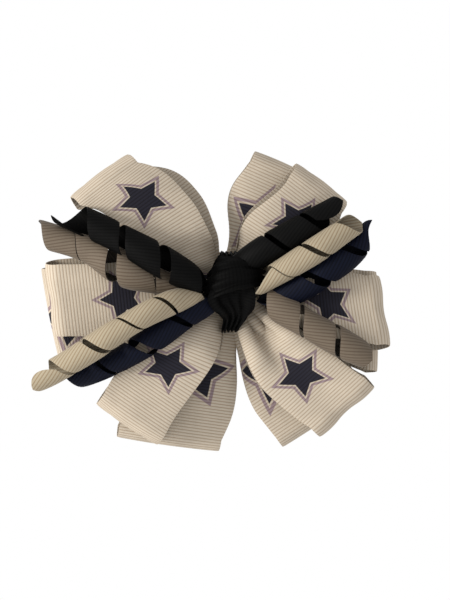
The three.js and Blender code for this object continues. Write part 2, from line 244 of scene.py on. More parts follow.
def cubic(knots, values, at):
    """Values (k, ...) given at the knots, read at other places by a smooth cubic."""
    slope = np.gradient(values, knots, axis=0)
    i = np.clip(np.searchsorted(knots, at) - 1, 0, len(knots) - 2)
    shape = (-1,) + (1,) * (values.ndim - 1)
    step = (knots[i + 1] - knots[i]).reshape(shape)
    t = ((at - knots[i]) / (knots[i + 1] - knots[i])).reshape(shape)
    here = (2 * t**3 - 3 * t**2 + 1) * values[i] + (t**3 - 2 * t**2 + t) * step * slope[i]
    there = (3 * t**2 - 2 * t**3) * values[i + 1] + (t**3 - t**2) * step * slope[i + 1]
    return here + there


def rib_rows(length):
    """Places along a ribbon that follow its ribs: several rows to each rib."""
    ribs = int(length // RIB_PITCH)
    rows = (np.arange(ribs)[:, None] + np.array(RIB_PHASES)[None, :]) * RIB_PITCH
    return np.append(rows.ravel(), ribs * RIB_PITCH)


def rib_height(along):
    """0 in the groove between two ribs, 1 on the crown of a rib."""
    phase = np.mod(along / RIB_PITCH, 1.0)
    return np.sqrt(np.clip(1 - (2 * phase - 1) ** 2, 0, 1))


# ---- Mesh writing ----

def write_mesh(name, points, faces, uvs, material, sharp=70):
    """points (n, 3) in millimetres; faces (f, 4); uvs {layer: (n, 2)}."""
    mesh = bpy.data.meshes.new(name)
    mesh.vertices.add(len(points))
    mesh.vertices.foreach_set("co", (points * MM).astype(np.float32).ravel())
    mesh.loops.add(faces.size)
    mesh.loops.foreach_set("vertex_index", faces.astype(np.int32).ravel())
    mesh.polygons.add(len(faces))
    mesh.polygons.foreach_set("loop_start", np.arange(0, faces.size, 4, dtype=np.int32))
    mesh.update(calc_edges=True)
    for layer, values in uvs.items():
        uv = mesh.uv_layers.new(name=layer)
        uv.data.foreach_set("uv", values[faces.ravel()].astype(np.float32).ravel())
    mesh.validate()
    mesh.polygons.foreach_set("use_smooth", np.ones(len(mesh.polygons), bool))
    mesh.set_sharp_from_angle(angle=math.radians(sharp))
    mesh.materials.append(material)
    obj = bpy.data.objects.new(name, mesh)
    bpy.context.scene.collection.objects.link(obj)
    return obj


def joined(parts):
    """Several (points, faces, uv) as one."""
    points, faces, uvs = [], [], []
    offset = 0
    for p, f, uv in parts:
        points.append(p)
        faces.append(f + offset)
        uvs.append(uv)
        offset += len(p)
    return np.concatenate(points), np.concatenate(faces), np.concatenate(uvs)


def shell_faces(rows, columns):
    """Faces of a closed sheet whose two sides are grids of points: both sides, then the four edges."""
    index = np.arange(rows * columns).reshape(rows, columns)
    back = index + rows * columns
    quads = [
        np.stack([index[:-1, :-1], index[:-1, 1:], index[1:, 1:], index[1:, :-1]], -1).reshape(-1, 4),
        np.stack([back[:-1, :-1], back[1:, :-1], back[1:, 1:], back[:-1, 1:]], -1).reshape(-1, 4),
        np.stack([index[:-1, 0], index[1:, 0], back[1:, 0], back[:-1, 0]], -1),
        np.stack([index[:-1, -1], back[:-1, -1], back[1:, -1], index[1:, -1]], -1),
        np.stack([index[0, :-1], back[0, :-1], back[0, 1:], index[0, 1:]], -1),
        np.stack([index[-1, :-1], index[-1, 1:], back[-1, 1:], back[-1, :-1]], -1),
    ]
    return np.concatenate(quads)


def sheet_grid(middle, along, across, ply=PLY, ribs=RIB_HEIGHT):
    """Both sides and the edges of a ribbon round its middle surface (rows, columns, 3): points, faces, UVs.

    The inside face comes first, and its places across the ribbon are moved by INSIDE, to tell it apart.
    """
    rows, columns = middle.shape[:2]
    u = np.broadcast_to(along[:, None] if along.ndim == 1 else along, (rows, columns))
    v = np.broadcast_to(across[None, :], (rows, columns))
    normal = np.cross(np.gradient(middle, axis=1), np.gradient(middle, axis=0))
    normal /= np.maximum(np.linalg.norm(normal, axis=-1, keepdims=True), 1e-9)
    rise = ply / 2 + ribs * rib_height(u) / 2
    rise[:, [0, -1]] *= SELVAGE
    offset = normal * rise[..., None]
    points = np.concatenate([middle + offset, middle - offset]).reshape(-1, 3)
    uv = np.stack([u, v], -1).reshape(-1, 2)
    return points, shell_faces(rows, columns), np.concatenate([uv + (0, INSIDE), uv])


def tube_grid(path, radius, sides=8):
    """A round wire along a path: points, faces and UVs."""
    path = np.asarray(path, float)
    tangent = unit(np.gradient(path, axis=0))
    up = np.array([0.0, 0.0, 1.0])
    normals = []
    for direction in tangent:
        up = up - direction * (up @ direction)
        up = up / np.linalg.norm(up)
        normals.append(up)
    normal = np.array(normals)
    side = np.cross(tangent, normal)
    angle = np.linspace(0, 2 * math.pi, sides, endpoint=False)
    ring = np.cos(angle)[None, :, None] * normal[:, None] + np.sin(angle)[None, :, None] * side[:, None]
    points = path[:, None] + radius * ring
    rows = len(path)
    index = np.arange(rows * sides).reshape(rows, sides)
    after = np.roll(index, -1, axis=1)
    walls = np.stack([index[:-1], index[1:], after[1:], after[:-1]], -1).reshape(-1, 4)
    ends = []
    for row, flip in ((index[0], False), (index[-1], True)):
        for k in range(1, sides - 2, 2):
            quad = [row[0], row[k], row[k + 1], row[k + 2]]
            ends.append(quad[::-1] if flip else quad)
    uv = np.stack(np.broadcast_arrays(lengths_along(path)[:, None], angle[None, :] * radius), -1)
    return points.reshape(-1, 3), np.concatenate([walls, np.array(ends)]), uv.reshape(-1, 2)


# ---- Ribbon loops ----

# An arc's half angle, and its chord as a share of its length
HALF_ANGLES = np.linspace(1e-3, 2.6, 800)
CHORD_SHARES = np.sin(HALF_ANGLES) / HALF_ANGLES


def pointing(degrees):
    """Unit directions in plan."""
    angle = np.radians(degrees)
    return np.stack([np.cos(angle), np.sin(angle)], -1)


def cross_section(share, pleats, across, width):
    """A ribbon gathered to a share of its width in round pleats: sideways places and heights of each row."""
    half = np.interp(share, CHORD_SHARES[::-1], HALF_ANGLES[::-1])
    lobe = width / pleats
    radius = lobe / (2 * half)
    number = np.clip(np.floor((across + width / 2) / lobe), 0, pleats - 1)
    centre = (number + 0.5) * lobe - width / 2
    angle = (across - centre)[None, :] / radius[:, None]
    side = centre[None, :] * share[:, None] + radius[:, None] * np.sin(angle)
    height = radius[:, None] * (np.cos(angle) - np.cos(half)[:, None])
    height *= np.where(number % 2 == 0, 1, -1)[None, :]
    return side, height - height.mean(axis=1, keepdims=True)


def there_and_back(front, tip, back):
    """Rows of a whole loop: out along its front ply, round its tip and back along its back ply."""
    return np.concatenate([front, tip, back[::-1]])


def leftward_shifts(loop, share, distance):
    """How far a loop's front ply and its back ply are moved to its left, out along them."""
    front = loop["shift"] * smooth(distance, *SHIFTING) * (1 - smooth(distance, *RETURNING))
    front = front + loop["bulge"] * np.sin(math.pi * share**3.2)
    return front, front + loop["bow"] * np.sin(math.pi * share**1.8)


def loop_route(loop, layer, lift, slot):
    """The middle line of one loop, as a value for each row.

    They are its place and heading in plan, the distance out from the knot, which way its outside faces (0 is
    towards the viewer), how far it is in front of the loop's middle, the middle's depth, and how far it is
    moved to its left.
    """
    half = LAYER_HALF[layer]
    depth = LAYER_DEPTH[layer] + lift
    reach = loop["reach"]
    outward = pointing(loop["heading"])
    tip = reach * pointing(loop["turn"]) - outward * half
    pull = 0.5 * reach * pointing(loop["leave"])
    share = np.linspace(0.03, 0.97, 24)
    sweep = np.linspace(0, math.pi, 15)
    flat = np.ones_like(sweep)
    plan = 2 * ((1 - share) * share)[:, None] * pull + (share**2)[:, None] * tip
    tip_plan = tip + outward * (half * np.sin(sweep))[:, None]
    distance = np.linalg.norm(plan, axis=1)
    opened = smooth(distance, *PARTING)
    heading = loop["root"] + (loop["heading"] - loop["root"]) * smooth(distance, TURNING_STARTS, 0.75 * reach)
    in_front = HALF_WAIST * (1 - opened) + half * opened
    middle_depth = slot * (1 - opened) + depth * opened
    front_shift, back_shift = leftward_shifts(loop, share, distance)
    return {
        "place": there_and_back(plan, tip_plan, plan),
        "heading": there_and_back(heading, loop["heading"] * flat, heading),
        "out": there_and_back(distance, reach * flat, distance),
        "face": there_and_back(0 * share, sweep, math.pi + 0 * share),
        "in_front": there_and_back(in_front, half * np.cos(sweep), -in_front),
        "depth": there_and_back(middle_depth, depth * flat, middle_depth),
        "leftwards": there_and_back(front_shift, 0 * flat, back_shift),
    }


def loop_profile(loop, layer, across, out, face):
    """The ribbon's cross-section in each row of a loop: sideways places and heights over its middle line."""
    width = RIBBON_WIDTH[layer]
    spread = smooth(out, SPREADING_STARTS, loop["spread"])
    full = GATHERED[layer] + (FULL_WIDTH - GATHERED[layer]) * spread
    front_side, front_height = cross_section(full, loop["pleats"], across, width)
    back_side, back_height = cross_section(full, BACK_PLEATS[layer], across, width)
    behind = (face > 0.5 * math.pi)[:, None]
    relief = loop["relief"] * (0.2 + 0.8 * smooth(out, *PLEATING))
    height = np.where(behind, back_height, front_height) * relief[:, None]
    narrowed = 1 + (loop["tip"] - 1) * smooth(out / loop["reach"], 0.5, 0.95)
    return np.where(behind, back_side, front_side) * narrowed[:, None], height


def loop_surface(loop, layer, lift, slot, across):
    """The middle surface of one loop, from the waist along its front ply, round the tip and back."""
    route = loop_route(loop, layer, lift, slot)
    out, face, in_front = route["out"], route["face"], route["in_front"]
    sideways, height = loop_profile(loop, layer, across, out, face)
    heading = pointing(route["heading"])
    left = np.stack([-heading[:, 1], heading[:, 0]], -1)
    roll = math.radians(loop["roll"]) * smooth(out / loop["reach"], 0.15, 0.8)
    tilt = -np.sin(roll)[:, None] * left
    centre = route["place"] + tilt * in_front[:, None] + left * route["leftwards"][:, None]
    centre_depth = route["depth"] + in_front * np.cos(roll)
    outward = np.cos(face)[:, None] * tilt + np.sin(face)[:, None] * heading
    across_plan = np.cos(roll)[:, None] * left
    plan = centre[:, None] + sideways[..., None] * across_plan[:, None] + height[..., None] * outward[:, None]
    depth = centre_depth[:, None] + sideways * np.sin(roll)[:, None]
    depth += height * (np.cos(face) * np.cos(roll))[:, None]
    return np.stack([plan[..., 0], -depth, plan[..., 1]], -1)


def motif_place(surface, along, loop):
    """How far along the strip the loop's own motif sits, on its front ply."""
    middle = surface[:, surface.shape[1] // 2]
    out = np.hypot(middle[:, 0], middle[:, 2])
    front = np.argmax(out)
    return float(np.interp(loop["motif"], out[: front + 1], along[: front + 1]))


def ripple(along, across, seed):
    """Small unevenness of handled ribbon, towards and away from the viewer."""
    wave = 0.22 * np.sin(along[:, None] / 9.1 + seed) * np.cos(across[None, :] / 8 + seed * 0.7)
    wave += 0.12 * np.sin(along[:, None] / 4.7 + seed * 1.9 + across[None, :] / 6)
    edge = (np.abs(across) / across.max())[None, :] ** 4
    wave += 0.18 * edge * np.sin(along[:, None] / 6.3 + seed + np.sign(across)[None, :])
    zero = np.zeros_like(wave)
    return np.stack([zero, -wave, zero], -1)


def ribbon_strip(strip, material):
    """A figure-eight of two loops, with its print centred on both loops' motifs: the piece and its length."""
    layer = strip["layer"]
    width = RIBBON_WIDTH[layer]
    columns = COLUMNS[layer]
    across = np.linspace(-width / 2, width / 2, columns)
    lift, slot = strip["lift"], strip["slot"]
    first, second = (loop_surface(loop, layer, lift, slot, across) for loop in strip["loops"])
    rough = np.concatenate([first, second[::-1, ::-1]])
    knots = lengths_along(rough[:, columns // 2])
    total = knots[-1]
    start = motif_place(first, knots[: len(first)], strip["loops"][0])
    end = total - motif_place(second, (total - knots[len(first):])[::-1], strip["loops"][1])
    scale = width / RIBBON_WIDTH["front"]
    repeats = max(1, round((end - start) / (MOTIF_PITCH * scale)))
    along = rib_rows(total)
    middle = cubic(knots, rough, along)
    middle += ripple(along, across, sum(map(ord, strip["name"])))
    points, faces, uv = sheet_grid(middle, along, across)
    aside = uv[:, 1] - strip["print"]
    in_motifs = np.stack([(uv[:, 0] - start) * repeats / (end - start), aside / scale], -1)
    piece = write_mesh(strip["name"] + "_cloth", points, faces, {"weave": uv, "print": in_motifs}, material)
    return piece, total


# ---- Curls ----

VIEWER = np.array([0.0, -1.0, 0.0])
END_OPENS = 9.0  # of the axis, over which a curl's end opens
CUT_REACH = 12.0  # of ribbon, over which its rows turn to the cut


def curl_axis(curl):
    """A curl's axis as fine points, the distances along it, the radius it is wound to and its lead angle."""
    axis = np.array([(x, -depth, z, radius) for x, z, depth, radius in curl["axis"]])
    knots = lengths_along(axis[:, :3])
    line = cubic(knots, axis, np.linspace(0, knots[-1], 160))
    run = lengths_along(line[:, :3])
    reach = run[-1]
    lead = math.atan2(curl["turn"], 2 * math.pi * axis[1:, 3].mean())
    wound = line[:, 3] * (1 + 0.035 * np.sin(run / 3.7 + reach) + 0.03 * np.sin(run / 8.9 + 2 * reach))
    wound = wound * (1 + (curl["flare"] - 1) * smooth(run, reach - END_OPENS, reach))
    return line[:, :3], run, wound, lead


def curl_places(curl, reach, lead, across):
    """Places along a curl's ribbon for each row and column, with its end cut to shape, and its length."""
    half = CURL_WIDTH / 2
    length = (reach - half * math.cos(lead)) / math.sin(lead)
    first = half * math.cos(lead) / math.sin(lead)
    along = rib_rows(length - first) + first
    ramp = smooth(along, length - CUT_REACH, length)[:, None]
    trim = curl["cut"] * across - curl["rounded"] * across**2 / half
    return along[:, None] + trim[None, :] * ramp, length


def curl_surface(curl, across):
    """A strip wound round its axis: rows along the ribbon from the knot outwards, and columns across it."""
    line, run, wound, lead = curl_axis(curl)
    places, length = curl_places(curl, run[-1], lead, across)
    travel = places * math.sin(lead) + across[None, :] * math.cos(lead)
    past = np.clip(travel, 0, run[-1])
    steps = np.concatenate([[0], np.cumsum(np.diff(run) / wound[:-1])]) / math.tan(lead)
    radius = np.interp(past, run, wound)
    angle = np.interp(places * math.sin(lead), run, steps) - across[None, :] * math.sin(lead) / radius
    angle += math.radians(curl["face"]) - np.interp(length * math.sin(lead), run, steps)
    direction = unit(np.gradient(line, axis=0))
    up = unit(VIEWER - direction * (direction @ VIEWER)[:, None])
    side = np.cross(direction, up)

    def at(values):
        return np.stack([np.interp(past, run, values[:, i]) for i in range(3)], -1)

    around = np.cos(angle)[..., None] * at(up) + np.sin(angle)[..., None] * at(side)
    middle = at(line) + at(direction) * (travel - past)[..., None] + around * radius[..., None]
    return middle, places


def curl_strip(strip, material):
    """Both curls of a strip: the piece and the length of its ribbon."""
    across = np.linspace(-CURL_WIDTH / 2, CURL_WIDTH / 2, COLUMNS["curl"])
    surfaces = [curl_surface(curl, across) for curl in strip["curls"]]
    parts = [sheet_grid(middle, places, across) for middle, places in surfaces]
    points, faces, uv = joined(parts)
    piece = write_mesh(strip["name"] + "_cloth", points, faces, {"weave": uv}, material)
    return piece, sum(float(places.max() - places.min()) for _, places in surfaces)


# ---- The knot and what is under it ----

# The knotted ribbon as stations along it: middle x, z, depth; the line from its middle to its edge x, z,
# depth; how far it crowns outwards; how far its ribs arch. The upper wrap crosses from right to
# left over the lower one, whose tail runs down, round behind and through the clip.
UPPER_WRAP = [
    (7.0, 3.4, 9.5, 0.2, 2.4, 0.0, 0.3, 0.0),
    (8.6, 4.0, 14.5, -0.3, 3.0, 0.0, 0.5, 0.0),
    (8.2, 4.2, 19.0, -0.8, 3.8, 0.2, 0.9, 0.3),
    (5.0, 4.1, 22.2, -1.0, 4.5, -0.6, 1.2, 0.6),
    (0.4, 4.0, 23.2, -0.8, 5.2, -1.2, 1.3, 0.8),
    (-3.8, 3.0, 21.9, 0.4, 6.0, -1.6, 1.3, 1.2),
    (-6.6, 1.2, 18.8, 1.2, 4.8, 0.0, 0.9, 1.0),
    (-7.2, 0.6, 14.0, 0.9, 3.4, 0.0, 0.5, 0.4),
    (-6.4, 0.4, 9.5, 0.4, 2.6, 0.0, 0.3, 0.0),
]
LOWER_WRAP = [
    (-1.0, 10.0, 6.0, 2.2, 0.0, 0.0, 0.2, 0.0),
    (-1.2, 10.2, 11.0, 2.8, 0.0, 0.0, 0.3, 0.0),
    (-0.8, 8.6, 16.5, 3.6, 0.0, 0.0, 0.6, 0.2),
    (0.0, 5.4, 19.4, 4.8, -0.2, -0.4, 0.9, 0.4),
    (0.4, 1.6, 20.9, 6.2, 0.4, -1.0, 1.1, 1.0),
    (0.0, -1.8, 21.7, 7.0, 0.9, -2.0, 1.6, 1.8),
    (0.4, -4.6, 21.2, 6.0, 0.7, -2.2, 1.7, 2.2),
    (1.0, -7.2, 19.6, 4.4, 0.5, -1.6, 1.3, 1.6),
    (0.8, -9.4, 17.4, 3.3, 0.2, -0.6, 0.8, 0.8),
    (-0.2, -11.6, 15.6, 2.8, 0.3, 0.0, 0.5, 0.4),
    (-0.8, -13.2, 13.0, 2.2, 0.3, 0.0, 0.4, 0.4),
    (-0.7, -12.6, 9.5, 2.0, 0.2, 0.0, 0.2, 0.0),
    (-0.4, -10.8, 5.0, 2.3, 0.0, 0.0, 0.2, 0.0),
    (-0.1, -8.6, 1.4, 2.1, 0.0, 0.0, 0.1, 0.0),
    (0.0, -5.4, 0.06, 2.0, 0.0, 0.0, 0.0, 0.0),
    (0.0, 0.0, 0.0, 2.0, 0.0, 0.0, 0.0, 0.0),
    (0.0, 5.4, 0.06, 2.0, 0.0, 0.0, 0.0, 0.0),
    (-0.3, 8.4, 1.6, 2.0, 0.0, 0.0, 0.1, 0.0),
    (-0.8, 9.9, 5.4, 2.1, 0.0, 0.0, 0.2, 0.0),
]
KNOT_RIBBON = 15.9
KNOT_PLEATS = 4
KNOT_WRINKLE = 0.28
THREAD_TURNS = 9
THREAD_RADIUS = 0.2
ROUNDNESS = 0.35  # of a turn of thread: 1 is round, 0 is square


def creases(along, share):
    """Long uneven creases, from -1 to 1, for each place along and across a ribbon."""
    wide = np.sin(share[None, :] * 7.5 + along[:, None] * 0.16)
    return 0.6 * wide + 0.4 * np.sin(share[None, :] * 13 + 1.7)


def gathers(along, share, drawn_in, steep, width):
    """Heights of the pleats that take up the width by which a ribbon is drawn in."""
    slope = 2.4 * np.sqrt(np.maximum(1 / drawn_in - 1, 0)) * steep
    height = slope * drawn_in * width / (2 * math.pi * KNOT_PLEATS)
    wander = 0.9 * np.sin(along / 3.1)
    return height[:, None] * np.sin(math.pi * KNOT_PLEATS * share[None, :] + wander[:, None])


def dressed(stations, width, columns):
    """A gathered ribbon laid through stations: its middle surface, the places along it and across it."""
    x, z, depth, ax, az, ad, crown, arch = np.array(stations, float).T
    values = np.stack([x, -depth, z, ax, -ad, az, crown, arch], -1)
    knots = lengths_along(values[:, :3])
    along = rib_rows(knots[-1])
    values = cubic(knots, values, along)
    middle, half, crown, arch = np.split(values, [3, 6, 7], axis=1)
    tangent = unit(np.gradient(middle, axis=0))
    normal = unit(np.cross(half, tangent))
    share = np.linspace(-1, 1, columns)
    drawn_in = np.linalg.norm(half, axis=-1) * 2 / width
    steep = smooth(-middle[:, 1], 1.5, 4) * (1 - 0.6 * smooth(crown[:, 0], 0.5, 1.1))
    lift = crown * (1 - share[None, :] ** 2) + KNOT_WRINKLE * creases(along, share) * smooth(crown, 0, 0.8)
    lift += gathers(along, share, drawn_in, steep, width)
    surface = middle[:, None] + half[:, None] * share[None, :, None] + normal[:, None] * lift[..., None]
    surface += tangent[:, None] * (arch * share[None, :] ** 2)[..., None]
    return surface, along, share * width / 2


def knot(material):
    """Both wraps of the knot: the piece and the length of its ribbon."""
    parts = []
    length = 0.0
    for stations in (UPPER_WRAP, LOWER_WRAP):
        surface, along, across = dressed(stations, KNOT_RIBBON, COLUMNS["knot"])
        parts.append(sheet_grid(surface, along, across, ply=0.24, ribs=0.1))
        length += along[-1]
    points, faces, uv = joined(parts)
    return write_mesh("centre_knot_cloth", points, faces, {"weave": uv}, material), length


def middle_and_half(node):
    """The middle of a CAD node's box and half its size."""
    low, high = (np.array(corner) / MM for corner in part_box(node))
    return (low + high) / 2, (high - low) / 2


def with_uv(grid):
    """A grid with its UVs in the layer that every material reads."""
    points, faces, uv = grid
    return points, faces, {"weave": uv}


def squared(wave):
    """A sine or cosine pushed out towards the corners of a square."""
    return np.sign(wave) * np.abs(wave) ** ROUNDNESS


def thread(material):
    """The waxed thread that gathers the loops, wound round the waist."""
    steps = np.linspace(0, THREAD_TURNS * 2 * math.pi, THREAD_TURNS * 48)
    centre, half = middle_and_half("binding_thread")
    inner = half - THREAD_RADIUS
    sway = np.linspace(-1, 1, len(steps)) * (half[0] - 0.3) + 0.12 * np.sin(steps * 1.3)
    path = centre + np.stack([sway, inner[1] * squared(np.cos(steps)), inner[2] * squared(np.sin(steps))], -1)
    return write_mesh("binding_thread_turns", *with_uv(tube_grid(path, THREAD_RADIUS, 6)), material)


def glue(material):
    """A squeezed pad of hot glue between the clip and the waist, uneven at its rim."""
    centre, half = middle_and_half("glue_pad")
    around = np.linspace(0, 2 * math.pi, 60, endpoint=False)
    rise = np.linspace(-math.pi / 2, math.pi / 2, 15)
    rim = half[0] * (0.97 + 0.025 * np.sin(3 * around + 1) + 0.02 * np.sin(7 * around))
    radius = np.cos(rise)[:, None] ** 0.5 * rim[None, :]
    thick = np.sin(rise)[:, None] * half[1] * (1 + 0.05 * np.sin(2 * around)[None, :])
    points = centre + np.stack([radius * np.cos(around), thick, radius * np.sin(around)], -1)
    rows, sides = radius.shape
    index = np.arange(rows * sides).reshape(rows, sides)
    after = np.roll(index, -1, axis=1)
    faces = np.stack([index[:-1], after[:-1], after[1:], index[1:]], -1).reshape(-1, 4)
    uv = points.reshape(-1, 3)[:, [0, 2]]
    return write_mesh("glue_pad_blob", points.reshape(-1, 3), faces, {"weave": uv}, material)


def lining(material):
    """The ribbon that lines the clip's upper arm, glued flat: the piece, and its width and length."""
    low, high = (np.array(corner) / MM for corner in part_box("clip_lining"))
    along = rib_rows(high[0] - low[0])
    across = np.linspace(low[2], high[2], COLUMNS["lining"])
    level = (low[1] + high[1]) / 2
    x, z = np.meshgrid(low[0] + along, across, indexing="ij")
    middle = np.stack([x, np.full_like(x, level), z], -1)
    points, faces, uv = sheet_grid(middle, along, across, ply=0.22, ribs=0.12)
    piece = write_mesh("clip_lining_ribbon", points, faces, {"weave": uv}, material)
    return piece, (high[2] - low[2], along[-1])


# ---- The clip's spring ----

# The spring's coil lies round the pin. Its legs end at x = leg, each against the inside of its arm's tail,
# whose y is given here: one is level, and the other slopes away from the pin.
SPRING = {"radius": 1.6, "wire": 0.35, "turns": 3.5, "half": 1.75, "leg": 18.0, "knee": 3.0, "clear": 0.2}
UPPER_INSIDE = -0.2
LOWER_INSIDE = {"at_pin": 4.7, "slope": 0.29}


def spring(material):
    """A torsion spring round the pin, with one leg under each arm's tail."""
    pin, _ = middle_and_half("hinge_pin")
    radius, wire, half, leg = (SPRING[key] for key in ("radius", "wire", "half", "leg"))
    turn = np.linspace(0, SPRING["turns"] * 2 * math.pi, 150)
    angle = -math.pi / 2 - turn
    coil = np.stack([pin[0] + radius * np.cos(angle), pin[1] + radius * np.sin(angle),
                     np.linspace(-half, half, len(turn))], -1)
    upper_end = np.array([leg, UPPER_INSIDE + wire, -half])
    knee = np.array([pin[0] + SPRING["knee"], pin[1] - radius - SPRING["clear"], -half])
    lower_inside = LOWER_INSIDE["at_pin"] + (leg - pin[0]) * LOWER_INSIDE["slope"]
    lower_end = np.array([leg, lower_inside - wire, half])
    start = np.linspace(upper_end, knee, 12)
    bend = np.linspace(knee, coil[0], 6)[1:-1]
    end = np.linspace(coil[-1], lower_end, 14)[1:]
    path = np.concatenate([start, bend, coil, end])
    return write_mesh("torsion_spring_wire", *with_uv(tube_grid(path, wire, 10)), material)


# ---- Materials ----

class Nodes:
    """A short way to write a material's nodes."""

    def __init__(self, name):
        self.material = bpy.data.materials.new(name)
        self.material.use_nodes = True
        self.tree = self.material.node_tree
        self.shader = self.tree.nodes["Principled BSDF"]

    def node(self, kind, **settings):
        made = self.tree.nodes.new(kind)
        for key, value in settings.items():
            setattr(made, key, value)
        return made

    def link(self, source, target):
        """Link a socket to another, or set that one to a plain value."""
        if isinstance(source, bpy.types.NodeSocket):
            self.tree.links.new(source, target)
        else:
            target.default_value = source

    def math(self, operation, a, b=0.0, c=0.0):
        made = self.node("ShaderNodeMath", operation=operation)
        for value, socket in zip((a, b, c), made.inputs):
            self.link(value, socket)
        return made.outputs[0]

    def mix(self, factor, a, b, blend="MIX"):
        """Two colours mixed: a Mix node's colours are inputs 6 and 7, and output 2."""
        made = self.node("ShaderNodeMix", data_type="RGBA", blend_type=blend)
        self.link(factor, made.inputs["Factor"])
        self.link(a, made.inputs[6])
        self.link(b, made.inputs[7])
        return made.outputs[2]

    def noise(self, scale, detail=2.0, vector=None):
        made = self.node("ShaderNodeTexNoise")
        made.inputs["Scale"].default_value = scale
        made.inputs["Detail"].default_value = detail
        if vector is not None:
            self.link(vector, made.inputs["Vector"])
        return made.outputs["Fac"]

    def step(self, value, low, high):
        made = self.node("ShaderNodeMapRange", interpolation_type="SMOOTHSTEP")
        for number, socket in zip((value, low, high), made.inputs):
            self.link(number, socket)
        return made.outputs["Result"]

    def fade(self, value, low, high):
        """1 below low, 0 from high: the opposite of step."""
        return self.math("SUBTRACT", 1.0, self.step(value, low, high))

    def position(self):
        return self.node("ShaderNodeTexCoord").outputs["Object"]

    def uv(self, layer):
        made = self.node("ShaderNodeUVMap", uv_map=layer)
        split = self.node("ShaderNodeSeparateXYZ")
        self.link(made.outputs[0], split.inputs[0])
        return split.outputs[0], split.outputs[1]

    def bump(self, height, strength, distance):
        made = self.node("ShaderNodeBump")
        made.inputs["Strength"].default_value = strength
        made.inputs["Distance"].default_value = distance
        self.link(height, made.inputs["Height"])
        self.link(made.outputs[0], self.shader.inputs["Normal"])


def colour(red, green, blue):
    """A display colour of 0-255 as a linear one."""
    shares = [c / 255 for c in (red, green, blue)]
    linear = [((c + 0.055) / 1.055) ** 2.4 if c > 0.04045 else c / 12.92 for c in shares]
    return (*linear, 1.0)


def darker(tint, share):
    """A linear colour times a share."""
    return (*(share * c for c in tint[:3]), 1.0)


def star_edge(nodes, x, y, outer, inner):
    """Signed distance in millimetres from the edge of a five-pointed star: negative inside."""
    fifth = 2 * math.pi / 5
    # Whole turns are added, so that the angle that is folded is above zero
    angle = nodes.math("ADD", nodes.math("ARCTAN2", y, x), 10 * fifth)
    folded = nodes.math("PINGPONG", angle, fifth / 2)
    distance = nodes.math("SQRT", nodes.math("MULTIPLY_ADD", x, x, nodes.math("MULTIPLY", y, y)))
    along = nodes.math("MULTIPLY", distance, nodes.math("COSINE", folded))
    aside = nodes.math("MULTIPLY", distance, nodes.math("SINE", folded))
    corner = (inner * math.cos(fifth / 2), inner * math.sin(fifth / 2))
    edge = (corner[0] - outer, corner[1])
    size = math.hypot(*edge)
    normal = (edge[1] / size, -edge[0] / size)
    return nodes.math("ADD", nodes.math("MULTIPLY", nodes.math("SUBTRACT", along, outer), normal[0]),
                      nodes.math("MULTIPLY", aside, normal[1]))


# The star's radii in millimetres; how far from its edge the ink ends, the outline begins and the outline
# ends; and how soft the printed edges are
STAR = {"outer": 9.6, "inner": 4.9, "ink": -1.25, "gap": -0.85, "rim": -0.1, "blur": 0.14, "rim_blur": 0.16}
INK = (9, 13, 31)
RIM = (116, 98, 110)


def printed_motif(nodes, cloth):
    """A plain star repeated along the ribbon: navy, a gap of bare ribbon, and a mauve-grey outline."""
    motifs, v = nodes.uv("print")
    # A star's centre is at each whole number, and 20 keeps what FRACT is given above zero
    centred = nodes.math("SUBTRACT", nodes.math("FRACT", nodes.math("ADD", motifs, 20.5)), 0.5)
    along = nodes.math("MULTIPLY", centred, MOTIF_PITCH)
    edge = star_edge(nodes, along, v, STAR["outer"], STAR["inner"])
    ink = nodes.fade(edge, STAR["ink"], STAR["ink"] + STAR["blur"])
    rim = nodes.math("MULTIPLY", nodes.step(edge, STAR["gap"], STAR["gap"] + STAR["blur"]),
                     nodes.fade(edge, STAR["rim"], STAR["rim"] + STAR["rim_blur"]))
    with_rim = nodes.mix(nodes.math("MULTIPLY", rim, 0.8), cloth, colour(*RIM))
    return nodes.mix(nodes.math("MULTIPLY", ink, 0.97), with_rim, colour(*INK))


# Each ribbon's looks: the display colour of its rib crowns; the tint of the painted shade in its grooves,
# which multiplies that, and how strongly; its sheen, roughness and shine; and how dark the painted shade on
# its inside is
RIBBONS = {
    "printed": dict(crown=(182, 171, 155), groove=(190, 172, 156), depth=0.7, sheen=0.0, shine=0.08,
                    inside=0.85),
    "black": dict(crown=(9, 9, 9), groove=(110, 110, 110), depth=0.8, sheen=0.0, roughness=0.6, shine=0.05),
    "navy": dict(crown=(12, 16, 31), groove=(110, 110, 120), depth=0.8, sheen=0.0, roughness=0.6, shine=0.07),
    "taupe": dict(crown=(98, 87, 74), groove=(180, 160, 142), inside=0.25),
    "ivory": dict(crown=(153, 142, 121), groove=(196, 172, 145), inside=0.6),
}
THREADS_APART = 0.34


